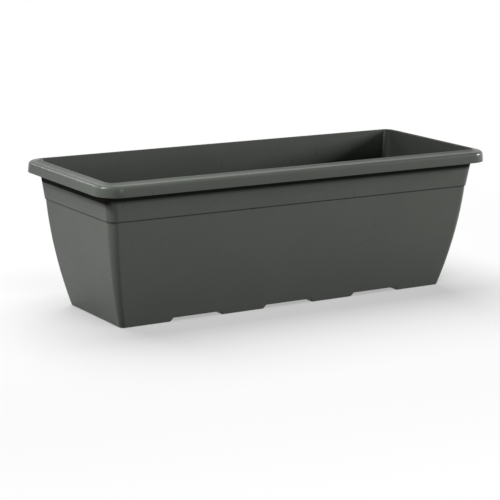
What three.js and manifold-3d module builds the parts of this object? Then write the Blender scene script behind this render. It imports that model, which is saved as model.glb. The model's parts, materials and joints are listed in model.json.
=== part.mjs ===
// Window box planter with a lift-out drainage grid and push-in drain plugs.
// Frame: millimetres, +Z up, +X along the length, the front faces -Y.
// The origin is on the ground under the middle of the box.
import * as THREE from 'three';
import { mergeVertices } from 'three/addons/utils/BufferGeometryUtils.js';
import Module from 'manifold-3d';

const wasm = await Module();
wasm.setup();

// ---------------------------------------------------------------------------
// Driving dimensions, millimetres
// ---------------------------------------------------------------------------

// The whole box, over the rim
const BOX_LENGTH = 500;
const BOX_WIDTH = 198.2;
const BOX_HEIGHT = 162.2;

// Folded rim: an inner crest, a land that falls outward, a shoulder and a hanging skirt
const RIM_CORNER_RADIUS = 24;
const RIM_DROP = 13.6;
const RIM_THICKNESS = 2;
const SKIRT_FLARE = 0.8;
const SHOULDER_RADIUS = 3.8;
const LAND_FALL = 1.8;
const LAND_SAG = 0.7;
const CREST_RADIUS = 1.1;

// Walls: a straight band under the rim, a stacking step, then a curved body down to the base
const WALL_THICKNESS = 2.2;
const BAND_DRAFT_DEGREES = 7.1;
const STEP_HEIGHT = 119.3;
const STEP_LEDGE = 1;
const STEP_INSET_ENDS = 17.3;
const STEP_INSET_SIDES = 19.1;
const STEP_CORNER_RADIUS = 9.9;
const BASE_INSET_ENDS = 22.7;
const BASE_INSET_SIDES = 20.25;
const BASE_CORNER_RADIUS = 5.5;
const BASE_EDGE_RADIUS = 1.5;
const BODY_CURVE = 0.56;

// Floor: feet are left standing between channels that run from front to back
const FLOOR_THICKNESS = 2.4;
const FLOOR_FILLET = 6;
const CHANNEL_COUNT = 3;
const CHANNEL_PITCH = 117.75;
const CHANNEL_MOUTH = 65;
const CHANNEL_ROOF = 58;
const CHANNEL_DEPTH = 4.1;

// Drain holes, in two rows through the channel roofs, and their plugs
const DRAIN_DIAMETER = 12;
const DRAIN_ROW_SPACING = 60;
const PLUG_CLEARANCE = 0.3;
const PLUG_HEAD_DIAMETER = 18;
const PLUG_HEAD_THICKNESS = 2;
const PLUG_KNOB_DIAMETER = 7;
const PLUG_KNOB_WAIST = 4.6;
const PLUG_KNOB_HEIGHT = 6;
const PLUG_TIP_REACH = 1.2;
const PLUG_TIP_CHAMFER = 0.8;

// Drainage grid: a perforated plate on legs, lifted by two finger holes
const GRID_LEVEL = 26;
const GRID_THICKNESS = 2.2;
const GRID_WALL_GAP = 3;
const GRID_LIP_DEPTH = 3.5;
const GRID_RIB_THICKNESS = 2;
const GRID_RIB_SPACING = 56;
const LEG_ROW_SPACING = 80;
const LEG_TOP_DIAMETER = 14;
const LEG_FOOT_DIAMETER = 10;
const FINGER_HOLE_DIAMETER = 24;
const SLOT_WIDTH = 4.5;
const SLOT_LENGTH = 20;
const SLOT_PITCH = 19.6;
const SLOT_ROW_SPACING = 28;
const SLOT_ROWS = 4;
const GRID_LAND = 3;

// Smoothness of the facets
const CORNER_STEPS = 6;
const BODY_STEPS = 8;
const FILLET_STEPS = 3;
const ROUND_SIDES = 24;
const SLOT_END_STEPS = 3;

// Cutters run this far past the faces that they cut
const CUT_OVERRUN = 1;

// Polypropylene colours
const ANTHRACITE = '#4a4d4a';
const BLACK = '#262827';

// ---------------------------------------------------------------------------
// Outlines: rounded rectangles seen from above, centred on the origin
// ---------------------------------------------------------------------------

const rimOutline = {
  halfX: BOX_LENGTH / 2,
  halfY: BOX_WIDTH / 2,
  radius: RIM_CORNER_RADIUS,
};
const stepOutline = {
  halfX: rimOutline.halfX - STEP_INSET_ENDS,
  halfY: rimOutline.halfY - STEP_INSET_SIDES,
  radius: STEP_CORNER_RADIUS,
};
const baseOutline = {
  halfX: stepOutline.halfX - BASE_INSET_ENDS,
  halfY: stepOutline.halfY - BASE_INSET_SIDES,
  radius: BASE_CORNER_RADIUS,
};

function inset(outline, distance) {
  return {
    halfX: outline.halfX - distance,
    halfY: outline.halfY - distance,
    radius: Math.max(outline.radius - distance, 0.2),
  };
}

function blend(from, to, share) {
  return {
    halfX: THREE.MathUtils.lerp(from.halfX, to.halfX, share),
    halfY: THREE.MathUtils.lerp(from.halfY, to.halfY, share),
    radius: THREE.MathUtils.lerp(from.radius, to.radius, share),
  };
}

// The outer face of the wall at a height. The body leans out fastest at the base and
// curves towards upright. Above the step the band stands one ledge further out, and leans
// out straight without growing its corner radius.
function wallOutline(height) {
  if (height <= STEP_HEIGHT) {
    const rise = height / STEP_HEIGHT;
    return blend(baseOutline, stepOutline, (1 + BODY_CURVE) * rise - BODY_CURVE * rise * rise);
  }
  const lean = Math.tan(THREE.MathUtils.degToRad(BAND_DRAFT_DEGREES)) * (height - STEP_HEIGHT);
  const ledge = inset(stepOutline, -STEP_LEDGE);
  return { halfX: ledge.halfX + lean, halfY: ledge.halfY + lean, radius: ledge.radius };
}

// The inner face keeps the wall's thickness, so its ledge is one wall higher.
function innerOutline(height) {
  const ledgeHeight = STEP_HEIGHT + WALL_THICKNESS;
  if (height > STEP_HEIGHT && height <= ledgeHeight) {
    return inset(wallOutline(STEP_HEIGHT), WALL_THICKNESS);
  }
  return inset(wallOutline(height), WALL_THICKNESS);
}

// ---------------------------------------------------------------------------
// Geometry helpers
// ---------------------------------------------------------------------------

function ringPoints({ halfX, halfY, radius }, height) {
  const points = [];
  const centres = [[1, 1], [-1, 1], [-1, -1], [1, -1]];
  centres.forEach(([signX, signY], quarter) => {
    for (let step = 0; step <= CORNER_STEPS; step += 1) {
      const angle = (quarter + step / CORNER_STEPS) * Math.PI / 2;
      points.push([
        signX * (halfX - radius) + radius * Math.cos(angle),
        signY * (halfY - radius) + radius * Math.sin(angle),
        height,
      ]);
    }
  });
  return points;
}

// A closed skin over a stack of rings, with a flat cap on the first and on the last ring.
function skinRings(rings) {
  const count = rings[0].length;
  const positions = rings.flat(2);
  const indices = [];
  for (let level = 0; level + 1 < rings.length; level += 1) {
    for (let i = 0; i < count; i += 1) {
      const a = level * count + i;
      const b = level * count + (i + 1) % count;
      indices.push(a, b, b + count, a, b + count, a + count);
    }
  }
  const last = (rings.length - 1) * count;
  const firstCentre = positions.length / 3;
  positions.push(0, 0, rings[0][0][2]);
  positions.push(0, 0, rings[rings.length - 1][0][2]);
  for (let i = 0; i < count; i += 1) {
    const next = (i + 1) % count;
    indices.push(firstCentre, next, i);
    indices.push(firstCentre + 1, last + i, last + next);
  }
  const geometry = new THREE.BufferGeometry();
  geometry.setAttribute('position', new THREE.Float32BufferAttribute(positions, 3));
  geometry.setIndex(indices);
  return geometry;
}

function toSolid(geometry) {
  const bare = geometry.clone();
  bare.deleteAttribute('normal');
  bare.deleteAttribute('uv');
  const merged = mergeVertices(bare, 1e-4);
  return new wasm.Manifold(new wasm.Mesh({
    numProp: 3,
    vertProperties: new Float32Array(merged.attributes.position.array),
    triVerts: new Uint32Array(merged.index.array),
  }));
}

function toGeometry(solid) {
  const mesh = solid.getMesh();
  const geometry = new THREE.BufferGeometry();
  geometry.setAttribute('position', new THREE.BufferAttribute(mesh.vertProperties, 3));
  geometry.setIndex(new THREE.BufferAttribute(mesh.triVerts, 1));
  geometry.computeVertexNormals();
  return geometry;
}

// A round solid about Z from [radius, height] pairs that start and end on the axis.
function turned(profile) {
  const points = profile.map(([radius, height]) => new THREE.Vector2(radius, height));
  const geometry = new THREE.LatheGeometry(points, ROUND_SIDES);
  geometry.rotateX(Math.PI / 2);
  return toSolid(geometry);
}

function upright(diameter, bottom, top) {
  return turned([[0, bottom], [diameter / 2, bottom], [diameter / 2, top], [0, top]]);
}

// A prism of an XZ section that runs from front to back.
function acrossPrism(section, width) {
  const shape = new THREE.Shape(section.map(([x, z]) => new THREE.Vector2(x, z)));
  const geometry = new THREE.ExtrudeGeometry(shape, { depth: width, bevelEnabled: false });
  geometry.rotateX(Math.PI / 2);
  geometry.translate(0, width / 2, 0);
  return toSolid(geometry);
}

function block(sizeX, sizeY, bottom, top) {
  const geometry = new THREE.BoxGeometry(sizeX, sizeY, top - bottom);
  geometry.translate(0, 0, (bottom + top) / 2);
  return toSolid(geometry);
}

// Places along a line, evenly spaced about zero
function spread(count, pitch) {
  return Array.from({ length: count }, (_, i) => (i - (count - 1) / 2) * pitch);
}

// Points of an arc: turn 0 gives the start, turn 1 a quarter circle later.
function quarterArc(steps, place) {
  for (let i = 0; i <= steps; i += 1) {
    const angle = (i / steps) * Math.PI / 2;
    place(Math.sin(angle), Math.cos(angle));
  }
}

// ---------------------------------------------------------------------------
// The box: one moulding with its rim, walls, stacking step, floor and feet
// ---------------------------------------------------------------------------

const skirtFoot = BOX_HEIGHT - RIM_DROP;
const shoulderTop = BOX_HEIGHT - LAND_FALL;
const landUnderside = shoulderTop - RIM_THICKNESS;
const ridgeTop = CHANNEL_DEPTH + FLOOR_THICKNESS;
const channelPlaces = spread(CHANNEL_COUNT, CHANNEL_PITCH);
const drainRows = [-DRAIN_ROW_SPACING / 2, DRAIN_ROW_SPACING / 2];

function outsideRings() {
  const rings = [];
  quarterArc(FILLET_STEPS, (sine, cosine) => {
    const height = BASE_EDGE_RADIUS * (1 - cosine);
    rings.push(ringPoints(inset(wallOutline(height), BASE_EDGE_RADIUS * (1 - sine)), height));
  });
  for (let i = 1; i <= BODY_STEPS; i += 1) {
    const height = THREE.MathUtils.lerp(BASE_EDGE_RADIUS, STEP_HEIGHT, i / BODY_STEPS);
    rings.push(ringPoints(wallOutline(height), height));
  }
  rings.push(ringPoints(inset(stepOutline, -STEP_LEDGE), STEP_HEIGHT));
  rings.push(ringPoints(wallOutline(landUnderside), landUnderside));
  return rings;
}

function rimRings() {
  const rings = [];
  const skirtTop = inset(rimOutline, SKIRT_FLARE);
  const crest = inset(innerOutline(BOX_HEIGHT), -CREST_RADIUS);
  const landStart = inset(skirtTop, SHOULDER_RADIUS);
  rings.push(ringPoints(inset(skirtTop, RIM_THICKNESS), landUnderside));
  rings.push(ringPoints(inset(rimOutline, RIM_THICKNESS), skirtFoot));
  rings.push(ringPoints(rimOutline, skirtFoot));
  quarterArc(FILLET_STEPS + 1, (sine, cosine) => {
    const edge = inset(skirtTop, SHOULDER_RADIUS * (1 - cosine));
    rings.push(ringPoints(edge, shoulderTop - SHOULDER_RADIUS * (1 - sine)));
  });
  for (let i = 1; i <= FILLET_STEPS; i += 1) {
    const share = i / (FILLET_STEPS + 1);
    const height = shoulderTop + LAND_FALL * share - LAND_SAG * Math.sin(share * Math.PI);
    rings.push(ringPoints(blend(landStart, crest, share), height));
  }
  quarterArc(FILLET_STEPS, (sine, cosine) => {
    const edge = inset(crest, CREST_RADIUS * sine);
    rings.push(ringPoints(edge, BOX_HEIGHT - CREST_RADIUS * (1 - cosine)));
  });
  return rings;
}

function insideRings() {
  const rings = [];
  const ledgeHeight = STEP_HEIGHT + WALL_THICKNESS;
  const ledgeOutside = inset(wallOutline(ledgeHeight), WALL_THICKNESS);
  const filletTop = FLOOR_THICKNESS + FLOOR_FILLET;
  rings.push(ringPoints(ledgeOutside, ledgeHeight));
  rings.push(ringPoints(innerOutline(ledgeHeight), ledgeHeight));
  for (let i = 0; i < BODY_STEPS; i += 1) {
    const height = THREE.MathUtils.lerp(STEP_HEIGHT, filletTop, i / BODY_STEPS);
    rings.push(ringPoints(innerOutline(height), height));
  }
  quarterArc(FILLET_STEPS, (sine, cosine) => {
    const height = filletTop - FLOOR_FILLET * sine;
    rings.push(ringPoints(inset(innerOutline(height), FLOOR_FILLET * (1 - cosine)), height));
  });
  return rings;
}

// The section of one channel; lifted by the floor's thickness it is the ridge above it.
function channelSection(centreX, bottom, lift) {
  return [
    [centreX - CHANNEL_MOUTH / 2, bottom],
    [centreX + CHANNEL_MOUTH / 2, bottom],
    [centreX + CHANNEL_MOUTH / 2, lift],
    [centreX + CHANNEL_ROOF / 2, CHANNEL_DEPTH + lift],
    [centreX - CHANNEL_ROOF / 2, CHANNEL_DEPTH + lift],
    [centreX - CHANNEL_MOUTH / 2, lift],
  ];
}

function planterBoxSolid() {
  let solid = toSolid(skinRings([...outsideRings(), ...rimRings(), ...insideRings()]));
  const body = toSolid(skinRings(outsideRings()));
  for (const centreX of channelPlaces) {
    const ridge = acrossPrism(channelSection(centreX, FLOOR_THICKNESS / 2, FLOOR_THICKNESS), BOX_WIDTH);
    const channel = acrossPrism(channelSection(centreX, -CUT_OVERRUN, 0), BOX_WIDTH);
    solid = solid.add(ridge.intersect(body)).subtract(channel);
    for (const rowY of drainRows) {
      const hole = upright(DRAIN_DIAMETER, CHANNEL_DEPTH - CUT_OVERRUN, ridgeTop + CUT_OVERRUN);
      solid = solid.subtract(hole.translate([centreX, rowY, 0]));
    }
  }
  return solid;
}

// ---------------------------------------------------------------------------
// Drain plug: a head that rests on the ridge, a shank in the hole and a pull knob
// ---------------------------------------------------------------------------

function drainPlugSolid() {
  const shank = DRAIN_DIAMETER / 2 - PLUG_CLEARANCE;
  const tip = -(FLOOR_THICKNESS + PLUG_TIP_REACH);
  const knobTop = PLUG_HEAD_THICKNESS + PLUG_KNOB_HEIGHT;
  return turned([
    [0, tip],
    [shank - PLUG_TIP_CHAMFER, tip],
    [shank, tip + PLUG_TIP_CHAMFER],
    [shank, 0],
    [PLUG_HEAD_DIAMETER / 2, 0],
    [PLUG_HEAD_DIAMETER / 2, PLUG_HEAD_THICKNESS / 2],
    [PLUG_HEAD_DIAMETER / 2 - PLUG_HEAD_THICKNESS / 2, PLUG_HEAD_THICKNESS],
    [PLUG_KNOB_WAIST / 2, PLUG_HEAD_THICKNESS],
    [PLUG_KNOB_WAIST / 2, (PLUG_HEAD_THICKNESS + knobTop) / 2],
    [PLUG_KNOB_DIAMETER / 2, knobTop - PLUG_KNOB_HEIGHT / 4],
    [PLUG_KNOB_DIAMETER / 2 - PLUG_TIP_CHAMFER, knobTop],
    [0, knobTop],
  ]);
}

// ---------------------------------------------------------------------------
// Drainage grid: plate with slots and finger holes, a lip, two ribs and eight legs
// ---------------------------------------------------------------------------

const gridOutline = inset(innerOutline(GRID_LEVEL - GRID_LIP_DEPTH), GRID_WALL_GAP);
const gridTop = GRID_LEVEL + GRID_THICKNESS;
const legColumns = spread(CHANNEL_COUNT + 1, CHANNEL_PITCH);
const legRows = [-LEG_ROW_SPACING / 2, LEG_ROW_SPACING / 2];
const fingerColumns = [channelPlaces[0], channelPlaces[CHANNEL_COUNT - 1]];

function stackedPlate(outline, bottom, top) {
  return toSolid(skinRings([ringPoints(outline, bottom), ringPoints(outline, top)]));
}

function slotCutter() {
  const end = SLOT_WIDTH / 2;
  const reach = SLOT_LENGTH / 2 - end;
  const shape = new THREE.Shape();
  for (const [centre, start] of [[reach, 0], [-reach, Math.PI]]) {
    for (let i = 0; i <= SLOT_END_STEPS; i += 1) {
      const angle = start + (i / SLOT_END_STEPS) * Math.PI;
      const x = end * Math.cos(angle);
      const y = centre + end * Math.sin(angle);
      if (shape.curves.length === 0 && i === 0 && start === 0) {
        shape.moveTo(x, y);
      } else {
        shape.lineTo(x, y);
      }
    }
  }
  const depth = GRID_THICKNESS + 2 * CUT_OVERRUN;
  const geometry = new THREE.ExtrudeGeometry(shape, { depth, bevelEnabled: false });
  geometry.translate(0, 0, GRID_LEVEL - CUT_OVERRUN);
  return toSolid(geometry);
}

// A slot is left out where it would cut into a leg or a finger hole.
function slotIsFree(x, y) {
  const clearOf = (centreX, centreY, diameter) => {
    const gapX = Math.abs(x - centreX) - SLOT_WIDTH / 2 - diameter / 2;
    const gapY = Math.abs(y - centreY) - SLOT_LENGTH / 2 - diameter / 2;
    return gapX >= GRID_LAND / 2 || gapY >= GRID_LAND / 2;
  };
  return legColumns.every((legX) => legRows.every((legY) => clearOf(legX, legY, LEG_TOP_DIAMETER)))
    && fingerColumns.every((holeX) => clearOf(holeX, 0, FINGER_HOLE_DIAMETER));
}

function drainageGridSolid() {
  let solid = stackedPlate(gridOutline, GRID_LEVEL - GRID_LIP_DEPTH, gridTop);
  const hollow = inset(gridOutline, GRID_RIB_THICKNESS);
  const recess = stackedPlate(hollow, GRID_LEVEL - GRID_LIP_DEPTH - CUT_OVERRUN, GRID_LEVEL);
  solid = solid.subtract(recess);
  const usableX = hollow.halfX - hollow.radius;
  const columns = 2 * Math.floor((usableX - SLOT_WIDTH / 2) / SLOT_PITCH) + 1;
  const cutter = slotCutter();
  for (const x of spread(columns, SLOT_PITCH)) {
    for (const y of spread(SLOT_ROWS, SLOT_ROW_SPACING)) {
      if (slotIsFree(x, y)) {
        solid = solid.subtract(cutter.translate([x, y, 0]));
      }
    }
  }
  const fingerHole = upright(FINGER_HOLE_DIAMETER, GRID_LEVEL - CUT_OVERRUN, gridTop + CUT_OVERRUN);
  for (const x of fingerColumns) {
    solid = solid.subtract(fingerHole.translate([x, 0, 0]));
  }
  const overlap = GRID_THICKNESS / 2;
  const rib = block(2 * gridOutline.halfX - GRID_RIB_THICKNESS, GRID_RIB_THICKNESS,
    GRID_LEVEL - GRID_LIP_DEPTH, GRID_LEVEL + overlap);
  for (const y of spread(2, GRID_RIB_SPACING)) {
    solid = solid.add(rib.translate([0, y, 0]));
  }
  const leg = turned([
    [0, FLOOR_THICKNESS],
    [LEG_FOOT_DIAMETER / 2, FLOOR_THICKNESS],
    [LEG_TOP_DIAMETER / 2, GRID_LEVEL],
    [LEG_TOP_DIAMETER / 2, GRID_LEVEL + overlap],
    [0, GRID_LEVEL + overlap],
  ]);
  for (const x of legColumns) {
    for (const y of legRows) {
      solid = solid.add(leg.translate([x, y, 0]));
    }
  }
  return solid;
}

// ---------------------------------------------------------------------------
// Materials and assembly
// ---------------------------------------------------------------------------

function planterPlastic() {
  return new THREE.MeshStandardMaterial({ color: ANTHRACITE, roughness: 0.45, metalness: 0 });
}

function insertPlastic() {
  return new THREE.MeshStandardMaterial({ color: BLACK, roughness: 0.55, metalness: 0 });
}

function namedMesh(name, solid, material) {
  const mesh = new THREE.Mesh(toGeometry(solid), material);
  mesh.name = name;
  return mesh;
}

const windowBox = new THREE.Group();
windowBox.add(namedMesh('planter_box', planterBoxSolid(), planterPlastic()));
windowBox.add(namedMesh('drainage_grid', drainageGridSolid(), insertPlastic()));

let plugNumber = 0;
for (const x of channelPlaces) {
  for (const y of drainRows) {
    plugNumber += 1;
    const plug = namedMesh(`drain_plug_${plugNumber}`, drainPlugSolid(), insertPlastic());
    plug.position.set(x, y, ridgeTop);
    windowBox.add(plug);
  }
}

export default windowBox;
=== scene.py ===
"""Window box planter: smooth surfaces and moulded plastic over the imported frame."""
import json
import math

import bmesh
import bpy
from bpy.props import FloatProperty, FloatVectorProperty, IntProperty, PointerProperty
from mathutils import Matrix, Vector


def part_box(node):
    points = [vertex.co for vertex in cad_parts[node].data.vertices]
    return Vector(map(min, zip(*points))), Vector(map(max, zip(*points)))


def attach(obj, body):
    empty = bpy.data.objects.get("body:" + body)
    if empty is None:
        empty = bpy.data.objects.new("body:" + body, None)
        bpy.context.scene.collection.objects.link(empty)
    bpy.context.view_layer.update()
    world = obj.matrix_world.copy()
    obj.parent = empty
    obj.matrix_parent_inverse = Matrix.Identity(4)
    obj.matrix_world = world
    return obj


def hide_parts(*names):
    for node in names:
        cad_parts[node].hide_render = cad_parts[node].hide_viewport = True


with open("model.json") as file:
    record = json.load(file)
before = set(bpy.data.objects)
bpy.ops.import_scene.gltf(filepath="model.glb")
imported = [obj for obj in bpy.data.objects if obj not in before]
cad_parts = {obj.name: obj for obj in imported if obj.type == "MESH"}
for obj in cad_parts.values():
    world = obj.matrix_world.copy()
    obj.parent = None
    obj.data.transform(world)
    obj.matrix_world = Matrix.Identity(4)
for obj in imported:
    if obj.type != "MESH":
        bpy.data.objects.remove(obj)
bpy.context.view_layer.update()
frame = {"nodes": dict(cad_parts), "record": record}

bl_info = {
    "name": "Window Box Planter",
    "version": (1, 0, 0),
    "blender": (4, 5, 0),
    "location": "3D View > Sidebar > Planter",
    "description": "Builds a plastic window box with its drainage grid, drain plugs and studio",
    "category": "Add Mesh",
}

MILLIMETRE = 0.001
SMALLEST_RADIUS = 0.2 * MILLIMETRE
MERGE_DISTANCE = 0.002 * MILLIMETRE
LEVEL_TOLERANCE = 0.1 * MILLIMETRE
CHANNEL_CUT_SNAP = 0.00001 * MILLIMETRE
WINDOW_CUT_SNAP = 0.0001 * MILLIMETRE
SHARP_ANGLE = math.radians(35)
PLUG_SHARP_ANGLE = math.radians(50)
# A mesh attribute: how dark the plastic is painted, where shade alone leaves it too pale.
PAINTED_SHADE_LAYER = "painted_shade"

BOX_LOW, BOX_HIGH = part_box("planter_box")
GRID_LOW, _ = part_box("drainage_grid")
PLUG_NODES = sorted(name for name in frame["nodes"] if name.startswith("drain_plug"))
NODE_BODY = {
    node: body
    for body, nodes in frame["record"]["behaviour"]["bodies"].items()
    for node in nodes
}


# ---------------------------------------------------------------------------
# Settings
# ---------------------------------------------------------------------------

def length(name, description, millimetres):
    return FloatProperty(
        name=name,
        description=description,
        default=millimetres * MILLIMETRE,
        unit="LENGTH",
        subtype="DISTANCE",
        precision=4,
    )


def colour(name, description, value):
    return FloatVectorProperty(
        name=name, description=description, default=value, subtype="COLOR", min=0.0, max=1.0
    )


class PlanterSizes(bpy.types.PropertyGroup):
    rim_corner_radius: length("Rim corner radius", "Corner radius of the skirt from above", 24)
    rim_drop: length("Rim drop", "From the crest down to the foot of the skirt", 13.6)
    rim_thickness: length("Rim thickness", "Wall of the skirt and of the land", 2)
    skirt_flare: length("Skirt flare", "How much further out the foot of the skirt stands", 0.8)
    shoulder_radius: length("Shoulder radius", "Round between the skirt and the land", 3.8)
    land_fall: length("Land fall", "How far the land falls from the crest to the shoulder", 1.8)
    land_sag: length("Land sag", "Hollow of the land between crest and shoulder", 0.7)
    crest_radius: length("Crest radius", "Round of the inner crest", 1.1)
    wall_thickness: length("Wall thickness", "Wall of the box", 2.2)
    band_draft: FloatProperty(
        name="Band draft", description="Lean of the band under the rim",
        default=math.radians(7.1), subtype="ANGLE",
    )
    step_height: length("Step height", "Height of the stacking step", 119.3)
    step_ledge: length("Step ledge", "How far the band stands out over the body", 1)
    step_edge_radius: length("Step edge radius", "Small round at the ledge", 0.3)
    step_inset_ends: length("Step inset at the ends", "From the rim in to the body", 17.3)
    step_inset_sides: length("Step inset at the sides", "From the rim in to the body", 19.1)
    step_corner_radius: length("Step corner radius", "Corner radius of the body at the step", 9.9)
    base_inset_ends: length("Base inset at the ends", "From the step in to the base", 22.7)
    base_inset_sides: length("Base inset at the sides", "From the step in to the base", 20.25)
    base_corner_radius: length("Base corner radius", "Corner radius of the base", 5.5)
    base_edge_radius: length("Base edge radius", "Round between the walls and the base", 1.5)
    body_curve: FloatProperty(
        name="Body curve", description="How much the walls curve in towards the base",
        default=0.56, min=0.0, max=1.0,
    )
    floor_thickness: length("Floor thickness", "Wall of the floor", 2.4)
    floor_fillet: length("Floor fillet", "Inner round between the walls and the floor", 6)
    # These four sizes place painted shade: a dark band on the wall behind and under the skirt, and
    # a dark line in the step's corner.
    painted_shade_reach_ends: length("Crease reach at the ends", "Depth of the dark crease there", 13.7)
    painted_shade_reach_sides: length("Crease reach at the sides", "Depth of the dark crease there", 10.3)
    painted_shade_fade: length("Crease fade", "Height over which the dark crease fades out", 3.5)
    step_painted_shade: length("Step crease", "Height of the dark line in the corner of the step", 1.2)
    channel_pitch: length("Channel pitch", "Between the middles of the cross channels", 117.75)
    channel_mouth: length("Channel mouth", "Width of a channel at the ground", 65)
    channel_roof: length("Channel roof", "Width of a channel at its roof", 58)
    channel_depth: length("Channel depth", "Height of a channel", 4.1)
    channel_rounding: length("Channel rounding", "Softness of the channel's edges", 0.5)
    channel_fade: length("Channel fade", "Height over which the raised floor fades out", 14)
    drain_diameter: length("Drain diameter", "Diameter of a drain hole", 12)
    drain_row_spacing: length("Drain row spacing", "Between the two rows of drain holes", 60)
    corner_segments: IntProperty(
        name="Corner segments", description="Facets of each upright corner", default=16, min=3
    )
    wall_segments: IntProperty(
        name="Wall segments", description="Rings between the base and the step", default=40, min=4
    )


class PlugSizes(bpy.types.PropertyGroup):
    clearance: length("Clearance", "Gap between the shank and its hole", 0.3)
    head_diameter: length("Head diameter", "Diameter of the head", 18)
    head_thickness: length("Head thickness", "Thickness of the head", 2)
    knob_diameter: length("Knob diameter", "Diameter of the pull knob", 7)
    knob_waist: length("Knob waist", "Diameter of the knob's neck", 4.6)
    knob_height: length("Knob height", "Height of the knob over the head", 6)
    tip_reach: length("Tip reach", "How far the shank shows under the channel roof", 1.2)
    tip_chamfer: length("Tip chamfer", "Chamfer of the shank's end", 0.8)
    turn_segments: IntProperty(
        name="Turn segments", description="Facets round a plug", default=64, min=8
    )


class PlanterColours(bpy.types.PropertyGroup):
    anthracite: colour("Anthracite", "Plastic of the box", (0.0525, 0.058, 0.0505))
    black: colour("Black", "Plastic of the grid and plugs", (0.017, 0.019, 0.017))
    scuff: colour("Scuff", "Where edges are rubbed", (0.10, 0.106, 0.10))
    floor_white: colour("Floor white", "Studio floor", (0.80, 0.80, 0.80))


# ---------------------------------------------------------------------------
# Outlines: rounded rectangles seen from above
# ---------------------------------------------------------------------------

class Outline:
    """A rounded rectangle round the middle of the box."""

    def __init__(self, half_x, half_y, radius):
        self.half_x = half_x
        self.half_y = half_y
        self.radius = radius

    def inset(self, distance):
        radius = max(self.radius - distance, SMALLEST_RADIUS)
        return Outline(self.half_x - distance, self.half_y - distance, radius)

    def blend(self, other, share):
        return Outline(
            self.half_x + (other.half_x - self.half_x) * share,
            self.half_y + (other.half_y - self.half_y) * share,
            self.radius + (other.radius - self.radius) * share,
        )

    def point(self, station, stations):
        """One of the points round the outline, which all lie on its four corners."""
        quarter = station // (stations // 4)
        angle = station_angle(station, stations)
        sign_x = (1, -1, -1, 1)[quarter]
        sign_y = (1, 1, -1, -1)[quarter]
        return Vector((
            sign_x * (self.half_x - self.radius) + self.radius * math.cos(angle),
            sign_y * (self.half_y - self.radius) + self.radius * math.sin(angle),
            0.0,
        ))


def station_angle(station, stations):
    """Where a station's corner facet faces: 0 is the right end, a quarter turn is the back."""
    quarter, step = divmod(station, stations // 4)
    return (quarter + step / (stations // 4 - 1)) * math.pi / 2


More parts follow.
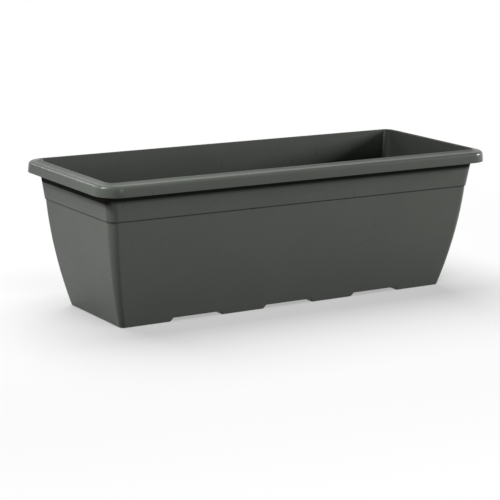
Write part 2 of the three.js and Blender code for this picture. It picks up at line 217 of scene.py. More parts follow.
class BoxForm:
    """The box's outlines at every height, and its closed section as a stack of rings."""

    BASE_EDGE_STEPS = 5
    LEDGE_STEPS = 3
    BAND_STEPS = 8
    HOLLOW_CORNER_STEPS = 4
    FOOT_INSIDE_STEPS = 2
    FOOT_OUTSIDE_STEPS = 3
    SHOULDER_STEPS = 10
    LAND_STEPS = 10
    CREST_STEPS = 7
    INNER_BAND_STEPS = 6
    FLOOR_FILLET_STEPS = 6
    # The rim's first rings lie in the hollow: the land's underside and the skirt's inside.
    HOLLOW_RINGS = HOLLOW_CORNER_STEPS + 3

    def __init__(self, sizes):
        self.s = sizes
        self.top = BOX_HIGH.z
        half_length = (BOX_HIGH.x - BOX_LOW.x) / 2
        half_width = (BOX_HIGH.y - BOX_LOW.y) / 2
        self.rim = Outline(half_length, half_width, sizes.rim_corner_radius)
        self.step = Outline(
            half_length - sizes.step_inset_ends,
            half_width - sizes.step_inset_sides,
            sizes.step_corner_radius,
        )
        self.base = Outline(
            self.step.half_x - sizes.base_inset_ends,
            self.step.half_y - sizes.base_inset_sides,
            sizes.base_corner_radius,
        )
        self.skirt_foot = self.top - sizes.rim_drop
        self.shoulder_top = self.top - sizes.land_fall
        self.land_underside = self.shoulder_top - sizes.rim_thickness

    def body(self, height):
        """The curved wall from the base to the step."""
        rise = height / self.s.step_height
        curve = self.s.body_curve
        return self.base.blend(self.step, (1 + curve) * rise - curve * rise * rise)

    def band(self, height):
        """The straight wall from the step to the rim, which leans out."""
        lean = math.tan(self.s.band_draft) * (height - self.s.step_height)
        ledge = self.step.inset(-self.s.step_ledge)
        return Outline(ledge.half_x + lean, ledge.half_y + lean, ledge.radius)

    def rings(self):
        """Outline, height and painted shade of every ring, from the base up, over the rim and
        inside.
        """
        outer = [(outline, height, self.painted_shade(height)) for outline, height in self.outer_rings()]
        # The hollow's rings are made fully dark by painted shade, and the inside has none.
        rim = [
            (outline, height, (1.0, 1.0) if index < self.HOLLOW_RINGS else (0.0, 0.0))
            for index, (outline, height) in enumerate(self.rim_rings())
        ]
        inner = [(outline, height, (0.0, 0.0)) for outline, height in self.inner_rings()]
        return outer + rim + inner

    def painted_shade(self, height):
        """How dark painted shade makes the ends and the sides: full behind the skirt and in the
        step's corner.
        """
        s = self.s
        in_step = 1 - abs(height - s.step_height) / s.step_painted_shade
        return tuple(
            min(max((height - foot) / s.painted_shade_fade, in_step, 0.0), 1.0)
            for foot in self.painted_shade_feet()
        )

    def painted_shade_feet(self):
        """The lowest heights of the painted shade under the skirt, at the ends and at the sides.
        """
        reaches = (self.s.painted_shade_reach_ends, self.s.painted_shade_reach_sides)
        return [self.skirt_foot - reach for reach in reaches]

    def outer_rings(self):
        """From the base up the outside to the land's underside."""
        s = self.s
        rings = []
        for sine, cosine in quarter_turn(self.BASE_EDGE_STEPS):
            height = s.base_edge_radius * (1 - cosine)
            rings.append((self.body(height).inset(s.base_edge_radius * (1 - sine)), height))
        for share in steps(s.wall_segments):
            height = s.base_edge_radius + (s.step_height - s.base_edge_radius) * share
            # An extra ring where the step's painted dark line begins, below the step.
            if share == 1:
                rings.append((self.body(height - s.step_painted_shade), height - s.step_painted_shade))
            rings.append((self.body(height), height))
        round_off = s.step_edge_radius
        ledge = self.band(s.step_height)
        rings.append((ledge.inset(round_off), s.step_height))
        for sine, cosine in quarter_turn(self.LEDGE_STEPS):
            height = s.step_height + round_off * (1 - cosine)
            rings.append((ledge.inset(round_off * (1 - sine)), height))
        band_foot = s.step_height + round_off
        band_top = self.land_underside - s.crest_radius
        rise = band_top - band_foot
        heights = [band_foot + rise * share for share in steps(self.BAND_STEPS)]
        # Extra rings at the top of the step's painted line, and where the painted shade under the
        # skirt begins and where it becomes full.
        heights.append(s.step_height + s.step_painted_shade)
        for foot in self.painted_shade_feet():
            heights += [foot, foot + s.painted_shade_fade]
        for height in sorted(heights):
            rings.append((self.band(height), height))
        wall_top = self.band(self.land_underside)
        for sine, cosine in quarter_turn(self.HOLLOW_CORNER_STEPS):
            height = self.land_underside - s.crest_radius * (1 - sine)
            rings.append((wall_top.inset(-s.crest_radius * (1 - cosine)), height))
        return rings

    def rim_rings(self):
        """From the hollow down inside the skirt, up its outside and over the land to the crest."""
        s = self.s
        rings = []
        edge = s.step_edge_radius
        skirt_top = self.rim.inset(s.skirt_flare)
        crest = self.band(self.top).inset(s.wall_thickness - s.crest_radius)
        land_start = skirt_top.inset(s.shoulder_radius)
        inner_top = skirt_top.inset(s.rim_thickness)
        inner_foot = self.rim.inset(s.rim_thickness)
        for sine, cosine in quarter_turn(self.HOLLOW_CORNER_STEPS):
            height = self.land_underside - s.crest_radius * (1 - cosine)
            rings.append((inner_top.inset(s.crest_radius * (1 - sine)), height))
        rings.append((inner_foot, self.skirt_foot + edge))
        for sine, cosine in quarter_turn(self.FOOT_INSIDE_STEPS):
            height = self.skirt_foot + edge * (1 - sine)
            rings.append((inner_foot.inset(-edge * (1 - cosine)), height))
        for sine, cosine in quarter_turn(self.FOOT_OUTSIDE_STEPS):
            height = self.skirt_foot + edge * (1 - cosine)
            rings.append((self.rim.inset(edge * (1 - sine)), height))
        for sine, cosine in quarter_turn(self.SHOULDER_STEPS):
            height = self.shoulder_top - s.shoulder_radius * (1 - sine)
            rings.append((skirt_top.inset(s.shoulder_radius * (1 - cosine)), height))
        for share in steps(self.LAND_STEPS)[:-1]:
            height = self.shoulder_top + s.land_fall * share
            height -= s.land_sag * math.sin(share * math.pi)
            rings.append((land_start.blend(crest, share), height))
        for sine, cosine in quarter_turn(self.CREST_STEPS):
            height = self.top - s.crest_radius * (1 - cosine)
            rings.append((crest.inset(s.crest_radius * sine), height))
        return rings

    def inner_rings(self):
        """From the crest down the inside to the floor."""
        s = self.s
        wall = s.wall_thickness
        rings = []
        ledge_height = s.step_height + wall
        fillet_top = s.floor_thickness + s.floor_fillet
        for share in steps(self.INNER_BAND_STEPS):
            height = self.top - s.crest_radius
            height += (ledge_height - height) * share
            rings.append((self.band(height).inset(wall), height))
        rings.append((self.body(s.step_height).inset(wall), ledge_height))
        for share in steps(s.wall_segments):
            height = s.step_height + (fillet_top - s.step_height) * share
            rings.append((self.body(height).inset(wall), height))
        for sine, cosine in quarter_turn(self.FLOOR_FILLET_STEPS):
            height = fillet_top - s.floor_fillet * sine
            rings.append((self.body(height).inset(wall + s.floor_fillet * (1 - cosine)), height))
        return rings


def steps(count):
    """Even shares of 1, without the 0."""
    return [i / count for i in range(1, count + 1)]


def quarter_turn(count):
    """Sine and cosine at even angles over a quarter turn, with both ends."""
    angles = [i / count * math.pi / 2 for i in range(count + 1)]
    return [(math.sin(angle), math.cos(angle)) for angle in angles]


# ---------------------------------------------------------------------------
# Mesh helpers
# ---------------------------------------------------------------------------

def loft(bm, rings, corner_segments):
    """Sweeps a stack of outlines into one closed skin, by extruding a ring from level to level."""
    stations = 4 * (corner_segments + 1)
    station = bm.verts.layers.int.new("station")
    # A layer of painted shade on the vertices.
    shade = bm.verts.layers.float.new(PAINTED_SHADE_LAYER)
    verts = bmesh.ops.create_circle(bm, cap_ends=False, segments=stations, radius=1.0)["verts"]
    for index, vert in enumerate(verts):
        vert[station] = index
    place_ring(verts, (station, shade), stations, *rings[0])
    first = list(bm.edges)
    loop = first
    for ring in rings[1:]:
        made = bmesh.ops.extrude_edge_only(bm, edges=loop)["geom"]
        verts = [item for item in made if isinstance(item, bmesh.types.BMVert)]
        fresh = set(verts)
        loop = [
            item for item in made
            if isinstance(item, bmesh.types.BMEdge) and fresh.issuperset(item.verts)
        ]
        place_ring(verts, (station, shade), stations, *ring)
    bmesh.ops.contextual_create(bm, geom=first)
    bmesh.ops.contextual_create(bm, geom=loop)


def place_ring(verts, layers, stations, outline, height, painted_shade):
    """Lays a ring on its outline; its painted shade turns from the ends' to the sides' at the
    corners.
    """
    station, shade = layers
    at_end, at_side = painted_shade
    for vert in verts:
        vert.co = outline.point(vert[station], stations)
        vert.co.z = height
        endwise = math.cos(station_angle(vert[station], stations)) ** 2
        vert[shade] = at_side + (at_end - at_side) * endwise


def new_piece(name, bm, material, sharp_angle=SHARP_ANGLE):
    """Makes an object of a bmesh, with its faces outwards and its edges sharp over an angle."""
    mesh = bpy.data.meshes.new(name)
    bmesh.ops.remove_doubles(bm, verts=bm.verts, dist=MERGE_DISTANCE)
    bmesh.ops.recalc_face_normals(bm, faces=bm.faces)
    bm.to_mesh(mesh)
    bm.free()
    mesh.shade_smooth()
    mesh.set_sharp_from_angle(angle=sharp_angle)
    mesh.materials.append(material)
    piece = bpy.data.objects.new(name, mesh)
    bpy.context.scene.collection.objects.link(piece)
    return piece


def cut_faces(bm, faces, axis, place, snap):
    """Cuts some faces along a plane that stands square to an axis."""
    point, normal = Vector(), Vector()
    point[axis] = place
    normal[axis] = 1.0
    edges = dict.fromkeys(edge for face in faces for edge in face.edges)
    verts = dict.fromkeys(vert for face in faces for vert in face.verts)
    bmesh.ops.bisect_plane(
        bm, geom=[*faces, *edges, *verts], dist=snap, plane_co=point, plane_no=normal
    )


# ---------------------------------------------------------------------------
# The box
# ---------------------------------------------------------------------------

# Cuts across the rounded edge of a channel, in shares of its rounding.
ROUNDING_CUTS = (-1, -0.5, 0, 0.5, 1)
ROUNDING_SAMPLES = 9
DRAIN_SEGMENTS = 48
# The floor is opened for a drain hole in a square that reaches so many radii out.
DRAIN_WINDOW = 1.5
# Faces with more painted shade than this get a dull copy of the plastic, which keeps the painted
# shade dark.
PAINTED_SHADE_FROM = 0.5


def channel_centres(sizes):
    return [-sizes.channel_pitch, 0.0, sizes.channel_pitch]


def channel_lift(sizes, x):
    """How far the floor is raised at a length, with the channel's edges softened."""
    distance = min(abs(x - centre) for centre in channel_centres(sizes))
    slope_width = (sizes.channel_mouth - sizes.channel_roof) / 2
    total = 0.0
    for index in range(ROUNDING_SAMPLES):
        shift = sizes.channel_rounding * (2 * index / (ROUNDING_SAMPLES - 1) - 1)
        share = (sizes.channel_mouth / 2 - (distance + shift)) / slope_width
        total += min(max(share, 0.0), 1.0)
    return sizes.channel_depth * total / ROUNDING_SAMPLES


def raise_channels(bm, sizes, form):
    """Cuts the lower skin across the length and lifts the floor over each channel."""
    fade_top = sizes.channel_fade
    cuts = []
    for centre in channel_centres(sizes):
        for half in (sizes.channel_mouth / 2, sizes.channel_roof / 2):
            for side in (-1, 1):
                for share in ROUNDING_CUTS:
                    cuts.append(centre + side * half + share * sizes.channel_rounding)
    for x in sorted(cuts):
        low = [face for face in bm.faces if all(v.co.z < fade_top for v in face.verts)]
        cut_faces(bm, low, 0, x, CHANNEL_CUT_SNAP)
    start = sizes.floor_thickness + sizes.base_edge_radius
    for vert in bm.verts:
        lift = channel_lift(sizes, vert.co.x)
        if lift <= 0 or vert.co.z >= fade_top:
            continue
        share = min(max((vert.co.z - start) / (fade_top - start), 0.0), 1.0)
        height = vert.co.z + lift * (1 - share * share * (3 - 2 * share))
        vert.co.y *= form.body(height).half_y / form.body(vert.co.z).half_y
        vert.co.z = height


def lies_at(face, level):
    return all(abs(vert.co.z - level) < LEVEL_TOLERANCE for vert in face.verts)


def open_floor(bm, sizes, centre, row, level):
    """Opens one skin of the floor for a drain hole, and returns the edges of its circle."""
    radius = sizes.drain_diameter / 2
    window = radius * DRAIN_WINDOW
    for axis, place in ((0, centre), (1, row)):
        for side in (-1, 1):
            near = [
                face for face in bm.faces
                if lies_at(face, level)
                and abs(face.calc_center_median().x - centre) < sizes.channel_roof / 2
            ]
            cut_faces(bm, near, axis, place + side * window, WINDOW_CUT_SNAP)
    reach = window + LEVEL_TOLERANCE
    square = [
        face for face in bm.faces
        if lies_at(face, level)
        and all(abs(v.co.x - centre) < reach and abs(v.co.y - row) < reach for v in face.verts)
    ]
    border = [
        edge for edge in dict.fromkeys(edge for face in square for edge in face.edges)
        if sum(face in square for face in edge.link_faces) == 1
    ]
    bmesh.ops.delete(bm, geom=square, context="FACES_ONLY")
    circle = bmesh.ops.create_circle(
        bm, cap_ends=False, segments=DRAIN_SEGMENTS, radius=radius,
        matrix=Matrix.Translation((centre, row, level)),
    )["verts"]
    ring = list(dict.fromkeys(edge for vert in circle for edge in vert.link_edges))
    bmesh.ops.triangle_fill(bm, use_beauty=True, edges=border + ring)
    return ring


def cut_drain_holes(bm, sizes):
    """Cuts two drain holes through the roof of each channel."""
    roof = sizes.channel_depth
    ridge = sizes.channel_depth + sizes.floor_thickness
    for centre in channel_centres(sizes):
        for row in (-sizes.drain_row_spacing / 2, sizes.drain_row_spacing / 2):
            rims = []
            for level in (roof, ridge):
                rims += open_floor(bm, sizes, centre, row, level)
            bmesh.ops.bridge_loops(bm, edges=rims)


class PLANTER_OT_box(bpy.types.Operator):
    """Build the moulded box with its rim, walls, feet and drain holes"""
    bl_idname = "planter.box"
    bl_label = "Planter box"

    def execute(self, context):
        sizes = context.scene.planter_sizes
        form = BoxForm(sizes)
        bm = bmesh.new()
        loft(bm, form.rings(), sizes.corner_segments)
        raise_channels(bm, sizes, form)
        cut_drain_holes(bm, sizes)
        colours = context.scene.planter_colours
        piece = new_piece("box_shell", bm, box_plastic(colours))
        # The faces deepest in painted shade get the dull copy of the plastic.
        piece.data.materials.append(painted_shade_plastic(colours))
        painted_shade = piece.data.attributes[PAINTED_SHADE_LAYER].data
        for face in piece.data.polygons:
            if min(painted_shade[vertex].value for vertex in face.vertices) > PAINTED_SHADE_FROM:
                face.material_index = 1
        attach(piece, NODE_BODY["planter_box"])
        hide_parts("planter_box")
        return {"FINISHED"}


# ---------------------------------------------------------------------------
# The drainage grid and the plugs
# ---------------------------------------------------------------------------

GRID_MERGE_DISTANCE = 0.01 * MILLIMETRE
GRID_FLAT_ANGLE = math.radians(1)
GRID_EDGE_RADIUS = 0.3 * MILLIMETRE
GRID_EDGE_SEGMENTS = 2
GRID_EDGE_ANGLE = math.radians(50)
HEAD_STEPS = 6
KNOB_STEPS = 8


class PLANTER_OT_grid(bpy.types.Operator):
    """Round the edges of the lift-out drainage grid"""
    bl_idname = "planter.grid"
    bl_label = "Drainage grid"

    def execute(self, context):
        bm = bmesh.new()
        bm.from_mesh(frame["nodes"]["drainage_grid"].data)
        bmesh.ops.remove_doubles(bm, verts=bm.verts, dist=GRID_MERGE_DISTANCE)
        bmesh.ops.dissolve_limit(
            bm, angle_limit=GRID_FLAT_ANGLE, verts=bm.verts, edges=bm.edges
        )
        piece = new_piece("grid_plate", bm, insert_plastic(context.scene.planter_colours))
        bevel = piece.modifiers.new("Soft edges", "BEVEL")
        bevel.width = GRID_EDGE_RADIUS
        bevel.segments = GRID_EDGE_SEGMENTS
        bevel.limit_method = "ANGLE"
        bevel.angle_limit = GRID_EDGE_ANGLE
        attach(piece, NODE_BODY["drainage_grid"])
        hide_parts("drainage_grid")
        return {"FINISHED"}


def plug_section(sizes, drain_diameter, floor_thickness):
    """Radius and height of the points up a plug, with its head's underside at 0."""
    shank = drain_diameter / 2 - sizes.clearance
    tip = -(floor_thickness + sizes.tip_reach)
    head = sizes.head_diameter / 2
    thick = sizes.head_thickness
    knob = sizes.knob_diameter / 2
    top = thick + sizes.knob_height
    waist = sizes.knob_waist / 2
    points = [
        (0, tip), (shank - sizes.tip_chamfer, tip), (shank, tip + sizes.tip_chamfer),
        (shank, 0), (head, 0), (head, thick / 2),
    ]
    for sine, cosine in quarter_turn(HEAD_STEPS)[1:]:
        points.append((head - thick / 2 * (1 - cosine), thick / 2 + thick / 2 * sine))
    points += [(waist + thick / 4, thick), (waist, thick + thick / 4)]
    bulb = sizes.knob_height / 4
    middle = top - bulb
    points.append((waist, middle - bulb))
    for sine, cosine in quarter_turn(KNOB_STEPS):
        points.append((waist + (knob - waist) * sine, middle - bulb * cosine))
    for sine, cosine in quarter_turn(KNOB_STEPS)[1:]:
        points.append((knob * cosine, middle + bulb * sine))
    return points


class PLANTER_OT_plugs(bpy.types.Operator):
    """Turn the six drain plugs"""
    bl_idname = "planter.plugs"
    bl_label = "Drain plugs"

    def execute(self, context):
        sizes = context.scene.plug_sizes
        box = context.scene.planter_sizes
        section = plug_section(sizes, box.drain_diameter, box.floor_thickness)
        material = insert_plastic(context.scene.planter_colours)
        for node in PLUG_NODES:
            low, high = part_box(node)
            seat = high.z - section[-1][1]
            centre = Vector(((low.x + high.x) / 2, (low.y + high.y) / 2, seat))
            bm = bmesh.new()
            verts = [bm.verts.new((radius, 0, height)) for radius, height in section]
            edges = [bm.edges.new(pair) for pair in zip(verts, verts[1:])]
            bmesh.ops.spin(
                bm, geom=verts + edges, cent=(0, 0, 0), axis=(0, 0, 1), dvec=(0, 0, 0),
                angle=2 * math.pi, steps=sizes.turn_segments, use_merge=True,
            )
            bmesh.ops.translate(bm, verts=bm.verts, vec=centre)
            name = node.replace("drain_plug", "plug")
            piece = new_piece(name, bm, material, PLUG_SHARP_ANGLE)
            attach(piece, NODE_BODY[node])
            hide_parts(node)
        return {"FINISHED"}


# ---------------------------------------------------------------------------
# Materials
# ---------------------------------------------------------------------------

# Patterns on the plastic, as noise scales per metre.
CLOUD_SCALE = 14.0
PATCH_SCALE = 160.0
SHEEN_SCALE = 55.0
GRAIN_SCALE = 2600.0
WAVE_SCALE = 22.0

GRAIN_STRENGTH = 0.06
GRAIN_DEPTH = 0.12 * MILLIMETRE
WAVE_STRENGTH = 0.25
WAVE_DEPTH = 0.6 * MILLIMETRE
SHEEN_SPREAD = 0.03
PLASTIC_IOR = 1.49
PLASTIC_SPECULAR = 0.14
# Specular level of the dull copy of the plastic that keeps painted shade dark.
PAINTED_SHADE_SPECULAR = 0.02
BOX_ROUGHNESS = 0.30
# Roughness of that dull copy.
PAINTED_SHADE_ROUGHNESS = 0.7
INSERT_ROUGHNESS = 0.4
# Painted shade darkens the plastic to this share of its colour.
PAINTED_SHADE_FACTOR = 0.12
BOX_CLOUD_SHADE = 0.94
INSERT_CLOUD_SHADE = 0.85


def node_material(name):
    material = bpy.data.materials.new(name)
    material.use_nodes = True
    nodes = material.node_tree.nodes
    nodes.clear()
    return material, nodes, material.node_tree.links


def noise(nodes, links, coordinates, scale, detail=3.0, roughness=0.55):
    texture = nodes.new("ShaderNodeTexNoise")
    texture.inputs["Scale"].default_value = scale
    texture.inputs["Detail"].default_value = detail
    texture.inputs["Roughness"].default_value = roughness
    links.new(coordinates, texture.inputs["Vector"])
    return texture.outputs["Fac"]


def ramp(nodes, links, value, low, high, low_out=0.0, high_out=1.0):
    mapping = nodes.new("ShaderNodeMapRange")
    mapping.inputs["From Min"].default_value = low
    mapping.inputs["From Max"].default_value = high
    mapping.inputs["To Min"].default_value = low_out
    mapping.inputs["To Max"].default_value = high_out
    links.new(value, mapping.inputs["Value"])
    return mapping.outputs["Result"]


def multiply(nodes, links, first, second):
    node = nodes.new("ShaderNodeMath")
    node.operation = "MULTIPLY"
    for slot, value in zip(node.inputs, (first, second)):
        if isinstance(value, (int, float)):
            slot.default_value = value
        else:
            links.new(value, slot)
    return node.outputs[0]


def mix_colour(nodes, links, factor, first, second):
    node = nodes.new("ShaderNodeMix")
    node.data_type = "RGBA"
    links.new(factor, node.inputs["Factor"])
    for slot, value in zip((node.inputs[6], node.inputs[7]), (first, second)):
        if isinstance(value, bpy.types.NodeSocket):
            links.new(value, slot)
        else:
            slot.default_value = (*value, 1.0)
    return node.outputs[2]


def bump(nodes, links, relief, strength, depth, under=None):
    node = nodes.new("ShaderNodeBump")
    node.inputs["Strength"].default_value = strength
    node.inputs["Distance"].default_value = depth
    links.new(relief, node.inputs["Height"])
    if under is not None:
        links.new(under, node.inputs["Normal"])
    return node.outputs[0]


def moulded_plastic(name, base, shade, scuff, roughness, scuff_zones, specular=PLASTIC_SPECULAR):
    """Satin polypropylene: fine grain, faint clouds of darker tone, and painted shade where the
    mesh layer of painted shade says.

    Each scuff zone is a height where the rubbing begins, a height where it is full, and how
    strong it is.
    """
    material, nodes, links = node_material(name)
    coordinates = nodes.new("ShaderNodeTexCoord").outputs["Object"]
    shader = nodes.new("ShaderNodeBsdfPrincipled")
    output = nodes.new("ShaderNodeOutputMaterial")
    links.new(shader.outputs[0], output.inputs["Surface"])
    cloud = noise(nodes, links, coordinates, CLOUD_SCALE, 4.0)
    tone = mix_colour(nodes, links, ramp(nodes, links, cloud, 0.35, 0.65), base, shade)
    height = nodes.new("ShaderNodeSeparateXYZ")
    links.new(coordinates, height.inputs[0])
    patches = noise(nodes, links, coordinates, PATCH_SCALE, 6.0, 0.7)
    patches = ramp(nodes, links, patches, 0.55, 0.72)
    for low, high, strength in scuff_zones:
        zone = ramp(nodes, links, height.outputs["Z"], low, high)
        rubbed = multiply(nodes, links, multiply(nodes, links, zone, patches), strength)
        tone = mix_colour(nodes, links, rubbed, tone, scuff)
    # Painted shade: the colour darkens towards a share of itself where the mesh layer says, behind
    # the skirt and in the step's corner.
    painted_shade = nodes.new("ShaderNodeAttribute")
    painted_shade.attribute_name = PAINTED_SHADE_LAYER
    tone = mix_colour(nodes, links, painted_shade.outputs["Fac"], tone, base * PAINTED_SHADE_FACTOR)
    links.new(tone, shader.inputs["Base Color"])
    sheen = noise(nodes, links, coordinates, SHEEN_SCALE, 3.0)
    sheen = ramp(nodes, links, sheen, 0.3, 0.7, roughness - SHEEN_SPREAD, roughness + SHEEN_SPREAD)
    links.new(sheen, shader.inputs["Roughness"])
    shader.inputs["IOR"].default_value = PLASTIC_IOR
    shader.inputs["Specular IOR Level"].default_value = specular
    grain = noise(nodes, links, coordinates, GRAIN_SCALE, 2.0)
    grain = bump(nodes, links, grain, GRAIN_STRENGTH, GRAIN_DEPTH)
    waves = noise(nodes, links, coordinates, WAVE_SCALE, 1.0)
    waves = bump(nodes, links, waves, WAVE_STRENGTH, WAVE_DEPTH, grain)
    links.new(waves, shader.inputs["Normal"])
    return material


def box_plastic(colours):
    """The satin skin of the box, rubbed at its feet and along its crest."""
    base = Vector(colours.anthracite)
    foot_zone = (4 * MILLIMETRE, 0.0, 0.6)
    crest_zone = (BOX_HIGH.z - 1.5 * MILLIMETRE, BOX_HIGH.z, 0.35)
    return moulded_plastic(
        "anthracite_satin", base, base * BOX_CLOUD_SHADE, Vector(colours.scuff),
        BOX_ROUGHNESS, (foot_zone, crest_zone),
    )


def painted_shade_plastic(colours):
    """Dull copy of the box's plastic, nearly without gloss, for the painted shade behind the
    skirt.
    """
    base = Vector(colours.anthracite)
    return moulded_plastic(
        "anthracite_painted_shade", base, base, base, PAINTED_SHADE_ROUGHNESS, (), PAINTED_SHADE_SPECULAR
    )


def insert_plastic(colours):
    """The satin plastic that the grid and the plugs share, rubbed at the grid's feet."""
    existing = bpy.data.materials.get("black_satin")
    if existing:
        return existing
    base = Vector(colours.black)
    foot_zone = (GRID_LOW.z + 3 * MILLIMETRE, GRID_LOW.z, 0.5)
    return moulded_plastic(
        "black_satin", base, base * INSERT_CLOUD_SHADE, Vector(colours.scuff),
        INSERT_ROUGHNESS, (foot_zone,),
    )


# ---------------------------------------------------------------------------
# Studio: floor, lights and the photograph's camera
# ---------------------------------------------------------------------------

FLOOR_HALF_SIDE = 6.0

# The camera, fitted to the photograph's outlines.
IMAGE_PIXELS = 500
SENSOR_WIDTH = 36.0
CAMERA_FOCAL_PIXELS = 1851.8
CAMERA_YAW = math.radians(32.18)
CAMERA_PITCH = math.radians(12.474)
CAMERA_ROLL = math.radians(0.846)
CAMERA_DISTANCE = 2.1106
CAMERA_SIDE = -0.01149
CAMERA_UP = 0.05011

# The world's light on the object, and the floor's glow from near the object to far away.
FILL_STRENGTH = 0.03
FLOOR_GLOW = 0.42
FLOOR_NEAR = 0.30
FLOOR_FAR = 0.65
FLOOR_STRETCH = 0.6

# Lamps: name, azimuth and elevation in degrees, distance and side in metres, power in watts.
# The spot has its target, its cone in degrees and its softness in place of a side.
LIGHT_CENTRE = Vector((0, 0, 0.1))
NEAR_CORNER = (-0.235, -0.15, 0.15)
LEFT_SPOT = ("left_spot", 265, 40, 2.0, NEAR_CORNER, 17, 0.15, 290)
OBJECT_SOFTBOXES = (
    ("left_softbox", 262, 50, 2.0, 0.5, 24),
    ("right_softbox", 70, 14, 4.0, 1.0, 270),
    ("back_softbox", 210, 25, 2.0, 0.5, 8),
    ("front_softbox", 5, 5, 4.0, 1.0, 50),
)
FLOOR_SOFTBOXES = (
    ("floor_back_softbox", 180, 66, 2.0, 2.1, 63),
    ("floor_front_softbox", 345, 50, 2.0, 1.0, 13),
)


def seen_directly(nodes, links):
    """1 for the rays that see the studio itself: from the camera, in gloss or through glass."""
    path = nodes.new("ShaderNodeLightPath")
    strongest = path.outputs["Is Camera Ray"]
    for ray in ("Is Glossy Ray", "Is Transmission Ray"):
        pick = nodes.new("ShaderNodeMath")
        pick.operation = "MAXIMUM"
        links.new(strongest, pick.inputs[0])
        links.new(path.outputs[ray], pick.inputs[1])
        strongest = pick.outputs[0]
    return strongest


def white_world():
    """A world that looks white and adds only a little light."""
    world = bpy.data.worlds.new("studio")
    world.use_nodes = True
    nodes = world.node_tree.nodes
    links = world.node_tree.links
    background = nodes["Background"]
    seen = seen_directly(nodes, links)
    links.new(
        ramp(nodes, links, seen, 0.0, 1.0, FILL_STRENGTH, 1.0), background.inputs["Strength"]
    )
    background.inputs["Color"].default_value = (1.0, 1.0, 1.0, 1.0)
    bpy.context.scene.world = world


def floor_material(colours):
    """A pale floor that keeps the shadow by the object and fades to white away from it."""
    material, nodes, links = node_material("studio_floor")
    matt = nodes.new("ShaderNodeBsdfDiffuse")
    matt.inputs["Color"].default_value = (*colours.floor_white, 1.0)
    white = nodes.new("ShaderNodeEmission")
    coordinates = nodes.new("ShaderNodeTexCoord").outputs["Object"]
    away = nodes.new("ShaderNodeVectorMath")
    away.operation = "LENGTH"
    stretch = nodes.new("ShaderNodeVectorMath")
    stretch.operation = "MULTIPLY"
    stretch.inputs[1].default_value = (FLOOR_STRETCH, 1.0, 0.0)
    links.new(coordinates, stretch.inputs[0])
    links.new(stretch.outputs[0], away.inputs[0])
    glow = ramp(nodes, links, away.outputs["Value"], FLOOR_NEAR, FLOOR_FAR, FLOOR_GLOW, 1.0)
    glow.node.interpolation_type = "SMOOTHSTEP"
    both = nodes.new("ShaderNodeMixShader")
    output = nodes.new("ShaderNodeOutputMaterial")
    links.new(multiply(nodes, links, seen_directly(nodes, links), glow), both.inputs[0])
    links.new(matt.outputs[0], both.inputs[1])
    links.new(white.outputs[0], both.inputs[2])
    links.new(both.outputs[0], output.inputs["Surface"])
    return material


def photograph_camera():
    """Stands the camera where the photograph was taken from."""
    forward = Vector((
        math.sin(CAMERA_YAW) * math.cos(CAMERA_PITCH),
        math.cos(CAMERA_YAW) * math.cos(CAMERA_PITCH),
        -math.sin(CAMERA_PITCH),
    ))
    right = Vector((math.cos(CAMERA_YAW), -math.sin(CAMERA_YAW), 0))
    up = right.cross(forward)
    place = -CAMERA_DISTANCE * forward + CAMERA_SIDE * right + CAMERA_UP * up
    roll = Matrix.Rotation(-CAMERA_ROLL, 3, forward)
    turned_right = roll @ right
    turned_up = roll @ up
    data = bpy.data.cameras.new("camera")
    data.sensor_width = SENSOR_WIDTH
    data.lens = CAMERA_FOCAL_PIXELS / IMAGE_PIXELS * data.sensor_width
    data.clip_start = 0.05
    data.clip_end = 50.0
    camera = bpy.data.objects.new("camera", data)
    basis = Matrix((turned_right, turned_up, -forward)).transposed().to_4x4()
    camera.matrix_world = Matrix.Translation(place) @ basis
    bpy.context.scene.collection.objects.link(camera)
    bpy.context.scene.camera = camera


def lamp(name, kind, azimuth, elevation, distance, target, power):
    """A lamp placed round the object: azimuth 0 is the front, 90 the right end."""
    data = bpy.data.lights.new(name, kind)
    data.energy = power
    turn = math.radians(azimuth)
    rise = math.radians(elevation)
    direction = Vector((
        math.sin(turn) * math.cos(rise), -math.cos(turn) * math.cos(rise), math.sin(rise)
    ))
    place = LIGHT_CENTRE + distance * direction
    item = bpy.data.objects.new(name, data)
    item.location = place
    item.rotation_euler = (Vector(target) - place).to_track_quat("-Z", "Y").to_euler()
    bpy.context.scene.collection.objects.link(item)
    return item


def softbox(name, azimuth, elevation, distance, side, power):
    item = lamp(name, "AREA", azimuth, elevation, distance, LIGHT_CENTRE, power)
    item.data.shape = "SQUARE"
    item.data.size = side
    return item


def spot(name, azimuth, elevation, distance, target, cone_degrees, softness, power):
    item = lamp(name, "SPOT", azimuth, elevation, distance, target, power)
    item.data.spot_size = math.radians(cone_degrees)
    item.data.spot_blend = 1.0
    item.data.shadow_soft_size = softness
    return item


def aim_at_floor(item, floor, lit):
    """Lets a lamp light only the floor, or everything but the floor."""
    receivers = bpy.data.collections.new(item.name + "_reach")
    receivers.objects.link(floor)
    receivers.collection_objects[0].light_linking.link_state = "INCLUDE" if lit else "EXCLUDE"
    item.light_linking.receiver_collection = receivers


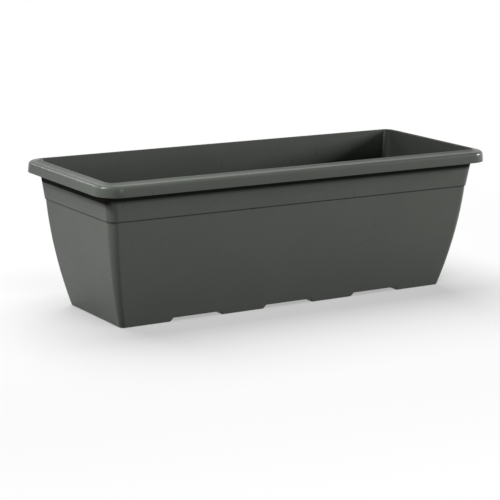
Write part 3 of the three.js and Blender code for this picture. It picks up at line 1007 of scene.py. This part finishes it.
class PLANTER_OT_studio(bpy.types.Operator):
    """Set the floor, the lights and the camera"""
    bl_idname = "planter.studio"
    bl_label = "Studio"

    def execute(self, context):
        context.scene.view_settings.view_transform = "Standard"
        bm = bmesh.new()
        bmesh.ops.create_grid(bm, x_segments=1, y_segments=1, size=FLOOR_HALF_SIDE)
        mesh = bpy.data.meshes.new("floor")
        bm.to_mesh(mesh)
        bm.free()
        mesh.materials.append(floor_material(context.scene.planter_colours))
        floor = bpy.data.objects.new("floor", mesh)
        context.scene.collection.objects.link(floor)
        white_world()
        aim_at_floor(spot(*LEFT_SPOT), floor, lit=False)
        for settings in OBJECT_SOFTBOXES:
            aim_at_floor(softbox(*settings), floor, lit=False)
        for settings in FLOOR_SOFTBOXES:
            aim_at_floor(softbox(*settings), floor, lit=True)
        photograph_camera()
        return {"FINISHED"}


# ---------------------------------------------------------------------------
# Panel and registration
# ---------------------------------------------------------------------------

class PLANTER_PT_panel(bpy.types.Panel):
    """Lists the pieces of the window box"""
    bl_idname = "PLANTER_PT_panel"
    bl_label = "Window Box Planter"
    bl_space_type = "VIEW_3D"
    bl_region_type = "UI"
    bl_category = "Planter"

    def draw(self, context):
        for operator in OPERATORS:
            self.layout.operator(operator.bl_idname)
        for group in (context.scene.planter_sizes, context.scene.plug_sizes,
                      context.scene.planter_colours):
            box = self.layout.box()
            for name in group.bl_rna.properties.keys():
                if name not in ("rna_type", "name"):
                    box.prop(group, name)


OPERATORS = (PLANTER_OT_box, PLANTER_OT_grid, PLANTER_OT_plugs, PLANTER_OT_studio)
CLASSES = (PlanterSizes, PlugSizes, PlanterColours, *OPERATORS, PLANTER_PT_panel)


def register():
    for cls in CLASSES:
        bpy.utils.register_class(cls)
    bpy.types.Scene.planter_sizes = PointerProperty(type=PlanterSizes)
    bpy.types.Scene.plug_sizes = PointerProperty(type=PlugSizes)
    bpy.types.Scene.planter_colours = PointerProperty(type=PlanterColours)


def unregister():
    del bpy.types.Scene.planter_colours
    del bpy.types.Scene.plug_sizes
    del bpy.types.Scene.planter_sizes
    for cls in reversed(CLASSES):
        bpy.utils.unregister_class(cls)


def main():
    register()
    bpy.ops.planter.studio()
    bpy.ops.planter.box()
    bpy.ops.planter.grid()
    bpy.ops.planter.plugs()


if __name__ == "__main__":
    main()
